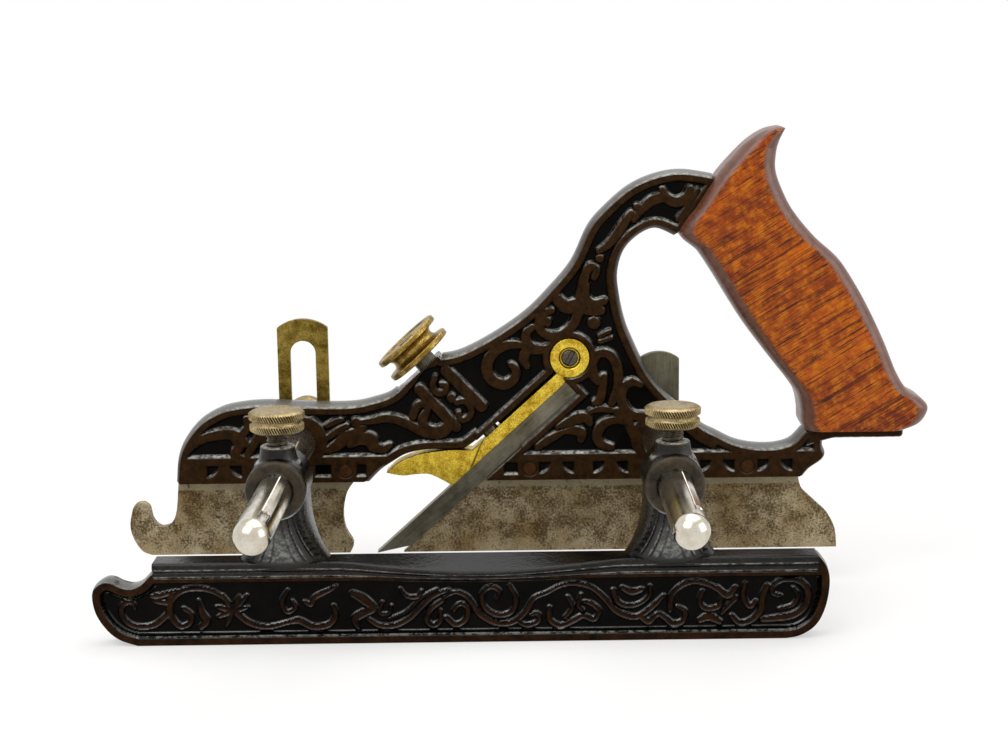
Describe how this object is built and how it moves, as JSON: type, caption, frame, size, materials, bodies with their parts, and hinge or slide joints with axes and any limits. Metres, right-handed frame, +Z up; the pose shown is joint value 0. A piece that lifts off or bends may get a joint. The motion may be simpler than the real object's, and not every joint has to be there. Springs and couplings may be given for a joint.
{
  "type": "plough plane",
  "caption": "Cast plough plane with thin steel skate, clamped narrow cutter, fence sliding on two rods, slotted depth stop, slitting blade and wooden handle.",
  "frame": {"origin": "foot of the cutter's bed, on the sole at the front end of the rear skate, in the middle of the skate's thickness", "axes": "+X towards the heel and handle, +Y to the side away from the fence, +Z up, square to the sole"},
  "size_m": [0.2869, 0.1573, 0.1659],
  "materials": {
    "japan": "glossy black japan worn brown on the high edges",
    "japan_worn": "japan worn to brown iron",
    "skate_steel": "steel with a brown speckled patina",
    "cutter_steel": "grey tool steel",
    "bare_steel": "plain steel",
    "nickel": "worn nickel plate",
    "lever_brass": "yellow brass with a rubbed surface",
    "satin_brass": "pale satin brass",
    "rosewood": "oiled and varnished hardwood with dark streaks"
  },
  "bodies": {
    "stock": {"stock_casting": "japan", "front_skate": "skate_steel", "rear_skate": "skate_steel", "skate_rivets": "japan_worn", "handle": "rosewood", "handle_screws": "bare_steel", "lever_pivot_screw": "bare_steel", "front_rod": "nickel", "rear_rod": "nickel"},
    "fence": {"fence_casting": "japan"},
    "front_thumb_screw": {"front_fence_screw": "satin_brass"},
    "rear_thumb_screw": {"rear_fence_screw": "satin_brass"},
    "clamp_screw": {"clamp_stem": "bare_steel"},
    "knob": {"clamp_knob": "satin_brass"},
    "lever": {"lever": "lever_brass"},
    "cutter": {"cutter": "cutter_steel"},
    "depth_stop": {"depth_stop": "lever_brass"},
    "depth_stop_lock": {"depth_stop_washer": "satin_brass", "depth_stop_screw": "satin_brass"},
    "slitter": {"slitter": "cutter_steel"},
    "slitter_lock": {"slitter_washer": "satin_brass", "slitter_screw": "satin_brass"}
  },
  "joints": [
    {"name": "fence_slide", "type": "slide", "parent": "stock", "child": "fence", "axis": [0, -1, 0], "range_m": [-0.049, 0.05]},
    {"name": "front_thumb_turn", "type": "hinge", "parent": "fence", "child": "front_thumb_screw", "pos_m": [-0.03556, -0.06821, 0.0421], "axis": [0, 0, 1], "range_deg": [0, 180]},
    {"name": "rear_thumb_turn", "type": "hinge", "parent": "fence", "child": "rear_thumb_screw", "pos_m": [0.09144, -0.06821, 0.0421], "axis": [0, 0, 1], "range_deg": [0, 180]},
    {"name": "clamp_turn", "type": "hinge", "parent": "clamp_screw", "child": "knob", "pos_m": [0.0087, 0, 0.07028], "axis": [-0.6691, 0, 0.7431], "range_deg": [0, 360]},
    {"name": "clamp_advance", "type": "slide", "parent": "stock", "child": "clamp_screw", "axis": [-0.6691, 0, 0.7431], "range_m": [0, 0.0009]},
    {"name": "lever_swing", "type": "hinge", "parent": "stock", "child": "lever", "pos_m": [0.06044, 0, 0.0711], "axis": [0, 1, 0], "range_deg": [0, 1.25]},
    {"name": "cutter_slide", "type": "slide", "parent": "stock", "child": "cutter", "axis": [-0.7431, 0, -0.6691], "range_m": [0, 0.003]},
    {"name": "depth_stop_slide", "type": "slide", "parent": "stock", "child": "depth_stop", "axis": [0, 0, 1], "range_m": [-0.024, 0.004]},
    {"name": "depth_stop_lock_turn", "type": "hinge", "parent": "stock", "child": "depth_stop_lock", "pos_m": [-0.03506, 0.00625, 0.0475], "axis": [0, 1, 0], "range_deg": [-180, 0]},
    {"name": "slitter_slide", "type": "slide", "parent": "stock", "child": "slitter", "axis": [0, 0, 1], "range_m": [-0.018, 0.008]},
    {"name": "slitter_lock_turn", "type": "hinge", "parent": "stock", "child": "slitter_lock", "pos_m": [0.09284, 0.00625, 0.0341], "axis": [0, 1, 0], "range_deg": [-180, 0]}
  ],
  "couplings": [
    {"joint": "clamp_turn", "follows": "clamp_advance", "rad_per_m": 6927.4},
    {"joint": "lever_swing", "follows": "clamp_advance", "rad_per_m": 23.474}
  ]
}
